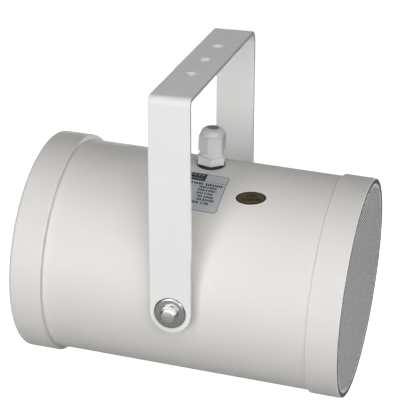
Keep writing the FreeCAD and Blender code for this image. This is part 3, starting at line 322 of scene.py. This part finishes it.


# The grille, and painted shade on the bezel's front edge around it


def make_grille():
    """The pierced sheet: staggered rows of six-sided holes inside a plain border."""
    pitch = 2.9
    hole_radius = 1.2
    hole_depth = 0.06
    border = 2.4
    rim_steps = 192
    row_turn = math.radians(-8)
    corners_per_mm = 500
    pattern_radius = GRILLE_RADIUS - border
    mesh = bmesh.new()
    corners = {}

    def corner(x, z):
        """The vertex that neighbouring cells share."""
        key = (round(x * corners_per_mm), round(z * corners_per_mm))
        if key not in corners:
            corners[key] = mesh.verts.new((x, GRILLE_FACE, z))
        return corners[key]

    angles = [row_turn + math.radians(60 * k + 30) for k in range(6)]
    spokes = [(math.cos(angle), math.sin(angle)) for angle in angles]
    cell_radius = pitch / math.sqrt(3)
    row_gap = pitch * math.sqrt(3) / 2
    hole_floor = GRILLE_FACE + hole_depth
    rows = int(pattern_radius / row_gap) + 1
    for row in range(-rows, rows + 1):
        shift = pitch / 2 if row % 2 else 0.0
        across = row * row_gap
        for step in range(-rows, rows + 1):
            along = step * pitch + shift
            x = along * math.cos(row_turn) - across * math.sin(row_turn)
            z = along * math.sin(row_turn) + across * math.cos(row_turn)
            if math.hypot(x, z) > pattern_radius:
                continue
            cell = [corner(x + cell_radius * dx, z + cell_radius * dz) for dx, dz in spokes]
            hole = [(x + hole_radius * dx, z + hole_radius * dz) for dx, dz in spokes]
            mouth = [mesh.verts.new((hx, GRILLE_FACE, hz)) for hx, hz in hole]
            floor = [mesh.verts.new((hx, hole_floor, hz)) for hx, hz in hole]
            for k in range(6):
                n = (k + 1) % 6
                mesh.faces.new((cell[k], cell[n], mouth[n], mouth[k]))
                mesh.faces.new((mouth[k], mouth[n], floor[n], floor[k]))
    shared = set(corners.values())
    seam = [edge for edge in mesh.edges if edge.is_boundary and shared.issuperset(edge.verts)]
    ring = [mesh.verts.new(point) for point in circle(GRILLE_RADIUS, GRILLE_FACE, rim_steps)]
    rim = [mesh.edges.new((ring[k], ring[(k + 1) % rim_steps])) for k in range(rim_steps)]
    bmesh.ops.triangle_fill(mesh, use_beauty=True, edges=seam + rim, normal=(0, -1, 0))
    piece = show(mesh, "pierced_grille", "housing", finishes["grille_paint"].material)
    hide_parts("grille")


def make_backing():
    """The dark cloth right behind the sheet, out to its rim."""
    inset = 0.8
    behind_sheet = 0.15
    steps = 96
    mesh = bmesh.new()
    outline = circle(GRILLE_RADIUS - inset, GRILLE_FACE + behind_sheet, steps)
    mesh.faces.new([mesh.verts.new(point) for point in outline])
    piece = show(mesh, "grille_backing", "housing", finishes["grille_cloth"].material)


def make_painted_rim_shade():
    """A dark ring over the bezel's front edge around the grille: painted shade where that edge lies in shadow."""
    inside = GRILLE_RADIUS - 0.5
    outside = BEZEL_RADIUS - 0.7
    back = BEZEL_FRONT + 0.1
    front = BEZEL_FRONT - 0.04
    steps = 180
    # The ring's dark brown-grey is painted shade, not the plastic's own colour.
    rim_shade_paint = moulded("painted_rim_shade", (0.14, 0.12, 0.095), 0.6)
    section = ((inside, back), (inside, front), (outside, front), (outside, back))
    mesh = bmesh.new()
    loops = []
    for radius, y in section:
        loops.append([mesh.verts.new(point) for point in circle(radius, y, steps)])
    join_rows(mesh, loops + loops[:1])
    line = show(mesh, "painted_rim_shade", "housing", rim_shade_paint.material)


# Thin printed films, wrapped on the tube. Their outlines are points of (along, arc), where
# along grows to the rear and arc is the length around the tube, upward from the bolt's height.
# Each layer runs from one height above the tube to another.

FILM_LAYER = (-0.05, 0.2)
INK_LAYER = (0.18, 0.23)
TOP_INK_LAYER = (0.22, 0.26)


def wrapped(outlines, layer, strip=1.2):
    """Wraps flat outlines on the tube, cut into strips that follow its curve."""
    low, high = layer
    mesh = bmesh.new()
    for outline in outlines:
        mesh.faces.new([mesh.verts.new((along, arc, 0)) for along, arc in outline])
    arcs = [vertex.co.y for vertex in mesh.verts]
    cut = min(arcs) + strip
    while cut < max(arcs):
        whole = list(mesh.verts) + list(mesh.edges) + list(mesh.faces)
        bmesh.ops.bisect_plane(mesh, geom=whole, plane_co=(0, cut, 0), plane_no=(0, 1, 0))
        cut += strip
    sheet = list(mesh.faces)
    lifted = bmesh.ops.extrude_face_region(mesh, geom=sheet)["geom"]
    raised = {item for item in lifted if isinstance(item, bmesh.types.BMVert)}
    for vertex in mesh.verts:
        radius = TUBE_RADIUS + (high if vertex in raised else low)
        angle = vertex.co.y / TUBE_RADIUS
        vertex.co = (-radius * math.cos(angle), vertex.co.x, radius * math.sin(angle))
    return mesh


def turned(points, centre, degrees):
    """Turns an outline about its own middle and moves that to the centre."""
    turn = math.radians(degrees)
    cosine, sine = math.cos(turn), math.sin(turn)
    return [
        (centre[0] + x * cosine - y * sine, centre[1] + x * sine + y * cosine)
        for x, y in points
    ]


def rounded_box(width, height, radius, steps=6):
    """The outline of a plate with rounded corners."""
    points = []
    for k, (side, level) in enumerate(((1, 1), (-1, 1), (-1, -1), (1, -1))):
        middle_x = side * (width / 2 - radius)
        middle_y = level * (height / 2 - radius)
        for step in range(steps + 1):
            angle = math.radians(90 * k + 90 * step / steps)
            x = middle_x + radius * math.cos(angle)
            y = middle_y + radius * math.sin(angle)
            points.append((x, y))
    return points


def oval(length, height, steps=64):
    """The outline of an oval film."""
    angles = [2 * math.pi * k / steps for k in range(steps)]
    return [(length / 2 * math.cos(angle), height / 2 * math.sin(angle)) for angle in angles]


def ring_pieces(outer, inner):
    """Quads between two outlines with the same number of points."""
    count = len(outer)
    pieces = []
    for k in range(count):
        n = (k + 1) % count
        pieces.append((outer[k], outer[n], inner[n], inner[k]))
    return pieces


def box_mark(start, end, arc, height):
    """A plain block between two places along the tube."""
    low, high = arc - height / 2, arc + height / 2
    return [(start, low), (end, low), (end, high), (start, high)]


def group_marks(dice, start, end, arc, height):
    """Uneven blocks that fill one stretch of a row."""
    usual_width = height * 0.5
    gap = height * 0.2
    marks = []
    place = start
    while place - usual_width > end:
        wide = usual_width * dice.uniform(0.75, 1.15)
        tall = height * dice.uniform(0.8, 1.0)
        marks.append(box_mark(place - wide, place, arc, tall))
        place -= wide + gap
    return marks


# Rows of marks on the label: arc, height, and where each group starts and ends
LABEL_ROWS = (
    (6.1, 2.3, ((17.5, 11.0), (9.0, 2.2), (1.2, -5.6), (-7.0, -19.8))),
    (3.3, 1.85, ((17.0, 8.0), (-3.4, -8.2), (-8.9, -10.2), (-10.7, -15.6))),
    (0.5, 1.85, ((17.0, 9.5), (-3.1, -8.1), (-8.8, -10.1), (-10.5, -15.4))),
    (-2.3, 1.85, ((17.0, 7.0), (-3.2, -7.7), (-8.3, -9.7), (-10.1, -14.6))),
    (-5.1, 1.85, ((17.0, 8.6), (-4.5, -8.5), (-9.1, -10.4), (-10.7, -16.4))),
    (-7.7, 1.85, ((17.0, 9.0), (-4.5, -8.2), (-8.8, -10.1), (-10.4, -16.7))),
    (-10.4, 1.85, ((17.0, 6.5), (-0.4, -7.6), (-8.1, -9.4), (-10.0, -14.6))),
)

# Rows of marks on the sticker: arc, start and end
SEAL_ROWS = (
    (1.9, 2.8, -2.6),
    (-1.5, 6.4, -6.4),
)


def label_stripes():
    """Slanted pale stripes over the dark panel, with a bar below them."""
    first = 15.4
    pitch = 2.8
    width = 1.2
    lean = 1.1
    low = 14.0
    high = 16.0
    stripes = []
    for k in range(7):
        start = first - k * pitch
        end = start - width
        stripes.append([(start, low), (end, low), (end - lean, high), (start - lean, high)])
    stripes.append(box_mark(-3.6, first, arc=11.2, height=0.7))
    return stripes


def make_label():
    """The rating plate: a foil with a thin dark line just inside its edge, a dark panel, stripes and rows of
    marks.
    """
    centre = (2.2, 85.4)
    turn = 1.6
    width = 42.0
    height = 34.2
    corner_radius = 3.0
    border_start = 0.2
    border_end = 0.5

    def plate(inset):
        """The label's outline, drawn in from its edge."""
        return rounded_box(width - 2 * inset, height - 2 * inset, corner_radius - inset)

    mesh = wrapped([turned(plate(0.0), centre, turn)], FILM_LAYER)
    piece = show(mesh, "label_plate", "housing", finishes["label_foil"].material)
    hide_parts("rating_label")

    ink = Finish("label_ink", (0.035, 0.035, 0.04), roughness=0.45)
    ink.mottle(scale=900, amount=0.4)
    ink.uneven(scale=300, amount=0.08)
    dice = random.Random(7)
    marks = []
    for arc, mark_height, groups in LABEL_ROWS:
        for start, end in groups:
            marks += group_marks(dice, start, end, arc, mark_height)
    dark_panel = box_mark(-5.2, 17.0, arc=13.0, height=7.6)
    thin_rule = box_mark(-20.2, 20.6, arc=8.9, height=0.25)
    marks += [dark_panel, thin_rule]
    marks += ring_pieces(plate(border_start), plate(border_end))
    marks = [turned(mark, centre, turn) for mark in marks]
    printed = show(wrapped(marks, INK_LAYER), "label_print", "housing", ink.material)

    pale = Finish("label_pale", (0.4, 0.42, 0.44), roughness=0.45)
    pale.mottle(scale=400, amount=0.2)
    stripes = [turned(mark, centre, turn) for mark in label_stripes()]
    lines = show(wrapped(stripes, TOP_INK_LAYER), "label_stripes", "housing", pale.material)


def make_sticker():
    """The oval inspection seal: a bronze film with a darker rim and plain marks."""
    centre = (-37.9, 85.2)
    turn = -11.0
    length = 20.4
    height = 11.6
    rim_along = 1.0
    rim_across = 0.9
    mark_height = 2.1
    gap = 0.6
    film = turned(oval(length, height), centre, turn)
    foil = finishes["seal_foil"].material
    piece = show(wrapped([film], FILM_LAYER), "seal_film", "housing", foil)
    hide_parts("inspection_sticker")

    dark = Finish("seal_ink", (0.022, 0.014, 0.007), roughness=0.35)
    dark.mottle(scale=700, amount=0.3)
    inner = oval(length - 2 * rim_along, height - 2 * rim_across)
    marks = ring_pieces(oval(length, height), inner)
    dice = random.Random(3)
    for arc, start, end in SEAL_ROWS:
        place = start
        while place > end:
            wide = dice.uniform(0.9, 1.3)
            marks.append(box_mark(place - wide, place, arc, mark_height))
            place -= wide + gap
    marks = [turned(mark, centre, turn) for mark in marks]
    rim = show(wrapped(marks, INK_LAYER), "seal_rim", "housing", dark.material)


# Washers and bolts at the sides, drawn on the +X side and turned round for the other one


def outward(node):
    """How far from the middle a fastener starts and ends, on either side."""
    return sorted(abs(x) for x in span(node, X))


def lathe(mesh, profile, steps=96):
    """Spins (radius, x) points about the bolts' axis and gives the rows of vertices."""
    rows = []
    for radius, x in profile:
        angles = [2 * math.pi * k / steps for k in range(steps)]
        points = [(x, radius * math.cos(angle), radius * math.sin(angle)) for angle in angles]
        rows.append([mesh.verts.new(point) for point in points])
    join_rows(mesh, rows)
    return rows


def place_fastener(mesh, node, side, finish):
    """Puts a drawn fastener on its side of the speaker, in the place of its node."""
    edge_angle = math.radians(24)
    if side == "left":
        mesh.transform(Matrix.Rotation(math.pi, 4, "Z"))
    material = finishes[finish].material
    piece = show(mesh, node + "_drawn", "housing", material, smooth=True)
    piece.data.set_sharp_from_angle(angle=edge_angle)
    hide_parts(node)


def make_flat_washer(side):
    """A punched washer: the outer edge is drawn well round, the inner one stays sharp."""
    node = "flat_washer_" + side
    seat, face = outward(node)
    radius = max(span(node, Z))
    bore = 3.3
    lower_edge_in = 0.25
    lower_edge_up = 0.3
    round_in = 1.3
    round_steps = 8
    round_up = face - seat - lower_edge_up
    profile = [(bore, seat), (radius - lower_edge_in, seat)]
    for k in range(round_steps + 1):
        angle = math.radians(90 * k / round_steps)
        reach = radius - round_in * (1 - math.cos(angle))
        profile.append((reach, seat + lower_edge_up + round_up * math.sin(angle)))
    profile += [(bore, face), (bore, seat)]
    mesh = bmesh.new()
    lathe(mesh, profile)
    bmesh.ops.remove_doubles(mesh, verts=mesh.verts, dist=0.0001)
    place_fastener(mesh, node, side, "stainless")


def make_bolt(side):
    """A hexagon bolt whose corners fall away from a round end face."""
    node = "pivot_bolt_" + side
    tip, top = outward(node)
    seat = max(outward("spring_washer_" + side))
    across_flats = 10.0
    head_turn = 20.0
    face_radius = 4.35
    face_edge_out = 0.1
    face_edge_in = 0.15
    face_edge_down = 0.06
    corner_slope = math.tan(math.radians(32))
    shank_radius = 3.0
    steps = 96
    foot, shoulder, face_edge, face = [], [], [], []
    mesh = bmesh.new()
    for k in range(steps):
        degrees = 360 * k / steps
        off_flat = (degrees - head_turn) % 60 - 30
        reach = across_flats / 2 / math.cos(math.radians(off_flat))
        drop = (reach - face_radius) * corner_slope
        profile = (
            (foot, seat, reach),
            (shoulder, top - drop, reach),
            (face_edge, top - face_edge_down, face_radius + face_edge_out),
            (face, top, face_radius - face_edge_in),
        )
        cosine, sine = math.cos(math.radians(degrees)), math.sin(math.radians(degrees))
        for row, x, radius in profile:
            row.append(mesh.verts.new((x, radius * cosine, radius * sine)))
    join_rows(mesh, [foot, shoulder, face_edge, face])
    mesh.faces.new(face)
    neck, end = lathe(mesh, [(shank_radius, seat), (shank_radius, tip)], steps)
    mesh.faces.new(end)
    join_rows(mesh, [neck, foot])
    place_fastener(mesh, node, side, "bolt_steel")


def make_gate_mark():
    """A small scar on the bezel, high up and close to its rear edge, from the moulding."""
    middle_y = BEZEL_REAR - 3.5
    middle_angle = math.radians(92.5)
    half_width = 0.75
    half_length = 2.4
    half_height = 0.3
    sunk = 0.1
    mesh = bmesh.new()
    bmesh.ops.create_uvsphere(mesh, u_segments=20, v_segments=12, radius=1.0)
    for vertex in mesh.verts:
        x, y, z = vertex.co
        angle = middle_angle + x * half_width / BEZEL_RADIUS
        level = BEZEL_RADIUS - sunk + z * half_height
        along = middle_y + y * half_length
        vertex.co = (-level * math.cos(angle), along, level * math.sin(angle))
    scar = show(mesh, "gate_mark", "housing", finishes["housing_plastic"].material, smooth=True)


make_grille()
make_backing()
make_painted_rim_shade()
make_label()
make_sticker()
make_gate_mark()
for side in ("left", "right"):
    make_flat_washer(side)
    make_bolt(side)


# Studio, in metres

CENTRE = (0, -0.03, -0.12)
GRILLE_CENTRE = (0, -0.112, -0.155)
FLOOR_HEIGHT = -0.8
FLOOR_SIZE = 9.0
FLOOR_GREY = (0.42, 0.42, 0.42, 1)
FLOOR_GLOW = 0.985
WHITE = (1, 1, 1, 1)


def backdrop_material():
    """Pale floor paint that keeps the shadow and is lifted to white for the camera."""
    material = bpy.data.materials.new("studio_floor")
    material.use_nodes = True
    tree = material.node_tree
    tree.nodes.clear()
    output = tree.nodes.new("ShaderNodeOutputMaterial")
    paint = tree.nodes.new("ShaderNodeBsdfDiffuse")
    paint.inputs["Color"].default_value = FLOOR_GREY
    glow = tree.nodes.new("ShaderNodeEmission")
    path = tree.nodes.new("ShaderNodeLightPath")
    lift = tree.nodes.new("ShaderNodeMath")
    lift.operation = "MULTIPLY"
    lift.inputs[1].default_value = FLOOR_GLOW
    both = tree.nodes.new("ShaderNodeAddShader")
    tree.links.new(path.outputs["Is Camera Ray"], lift.inputs[0])
    tree.links.new(lift.outputs[0], glow.inputs["Strength"])
    tree.links.new(paint.outputs[0], both.inputs[0])
    tree.links.new(glow.outputs[0], both.inputs[1])
    tree.links.new(both.outputs[0], output.inputs[0])
    return material


def make_floor():
    """A wide floor well below the speaker."""
    mesh = bmesh.new()
    bmesh.ops.create_grid(mesh, x_segments=1, y_segments=1, size=FLOOR_SIZE)
    sheet = new_object(mesh, "floor", backdrop_material())
    sheet.location = (0, 0, FLOOR_HEIGHT)


def make_world():
    """White for the camera, a dim room for light, and a bright wall behind for reflections."""
    room_strength = 0.04
    wall_strength = 0.12
    wall_in_reflections = 0.75
    wall_starts = 0.45
    wall_full = 0.85
    world = bpy.data.worlds.new("studio")
    bpy.context.scene.world = world
    world.use_nodes = True
    tree = world.node_tree
    tree.nodes.clear()
    output = tree.nodes.new("ShaderNodeOutputWorld")
    coordinate = tree.nodes.new("ShaderNodeTexCoord")
    split = tree.nodes.new("ShaderNodeSeparateXYZ")
    tree.links.new(coordinate.outputs["Generated"], split.inputs[0])
    path = tree.nodes.new("ShaderNodeLightPath")
    wall = tree.nodes.new("ShaderNodeMapRange")
    wall.inputs["To Min"].default_value = wall_strength
    wall.inputs["To Max"].default_value = wall_in_reflections
    tree.links.new(path.outputs["Is Glossy Ray"], wall.inputs["Value"])
    behind = tree.nodes.new("ShaderNodeMapRange")
    behind.inputs["From Min"].default_value = wall_starts
    behind.inputs["From Max"].default_value = wall_full
    behind.inputs["To Min"].default_value = room_strength
    tree.links.new(wall.outputs[0], behind.inputs["To Max"])
    tree.links.new(split.outputs["X"], behind.inputs["Value"])
    room = tree.nodes.new("ShaderNodeBackground")
    tree.links.new(behind.outputs[0], room.inputs["Strength"])
    white = tree.nodes.new("ShaderNodeBackground")
    white.inputs["Color"].default_value = WHITE
    mix = tree.nodes.new("ShaderNodeMixShader")
    tree.links.new(path.outputs["Is Camera Ray"], mix.inputs[0])
    tree.links.new(room.outputs[0], mix.inputs[1])
    tree.links.new(white.outputs[0], mix.inputs[2])
    tree.links.new(mix.outputs[0], output.inputs[0])


def lamp(name, place, target, width, height, power, spread=180):
    """A rectangular lamp that faces its target. The spread is in degrees."""
    data = bpy.data.lights.new(name, "AREA")
    data.shape = "RECTANGLE"
    data.size = width
    data.size_y = height
    data.energy = power
    data.spread = math.radians(spread)
    item = bpy.data.objects.new(name, data)
    item.location = place
    aim = Vector(target) - Vector(place)
    item.rotation_mode = "QUATERNION"
    item.rotation_quaternion = aim.to_track_quat("-Z", "Y")
    bpy.context.scene.collection.objects.link(item)


def make_camera():
    """The photograph's viewpoint."""
    place = (-0.990042, -0.28105, 0.320532)
    forward = Vector((0.888793, 0.25011, -0.384047)).normalized()
    right = Vector((0.271853, -0.962336, 0.002424))
    focal_pixels = 1601.988
    picture_pixels = 416
    sensor_width = 36.0
    right = (right - forward * right.dot(forward)).normalized()
    up = right.cross(forward)
    data = bpy.data.cameras.new("camera")
    data.sensor_width = sensor_width
    data.lens = focal_pixels / picture_pixels * sensor_width
    data.clip_start = 0.05
    data.clip_end = 50.0
    camera = bpy.data.objects.new("camera", data)
    axes = Matrix((right, up, -forward)).transposed().to_4x4()
    camera.matrix_world = Matrix.Translation(place) @ axes
    bpy.context.scene.collection.objects.link(camera)
    bpy.context.scene.camera = camera


make_floor()
make_world()
lamp("left", (-2.23, 0.78, 0.21), CENTRE, width=0.8, height=1.5, power=15.2)
lamp("right", (-1.47, -1.5, 1.08), CENTRE, width=1.5, height=0.9, power=13.0)
lamp("front", (-2.37, -0.53, 1.28), CENTRE, width=3.4, height=1.5, power=14.0)
lamp("top", (-1.1, -0.03, 1.75), CENTRE, width=1.2, height=1.2, power=9.4)
lamp("back", (2.1, 1.3, -0.38), CENTRE, width=1.5, height=0.8, power=14.0)
lamp("low", (-2.73, -0.61, 0.12), CENTRE, width=2.4, height=1.4, power=16.6)
lamp("grille", (0.15, -1.0, -0.22), GRILLE_CENTRE, width=0.17, height=0.17, power=0.035, spread=3)
make_camera()
bpy.context.scene.view_settings.view_transform = "Standard"
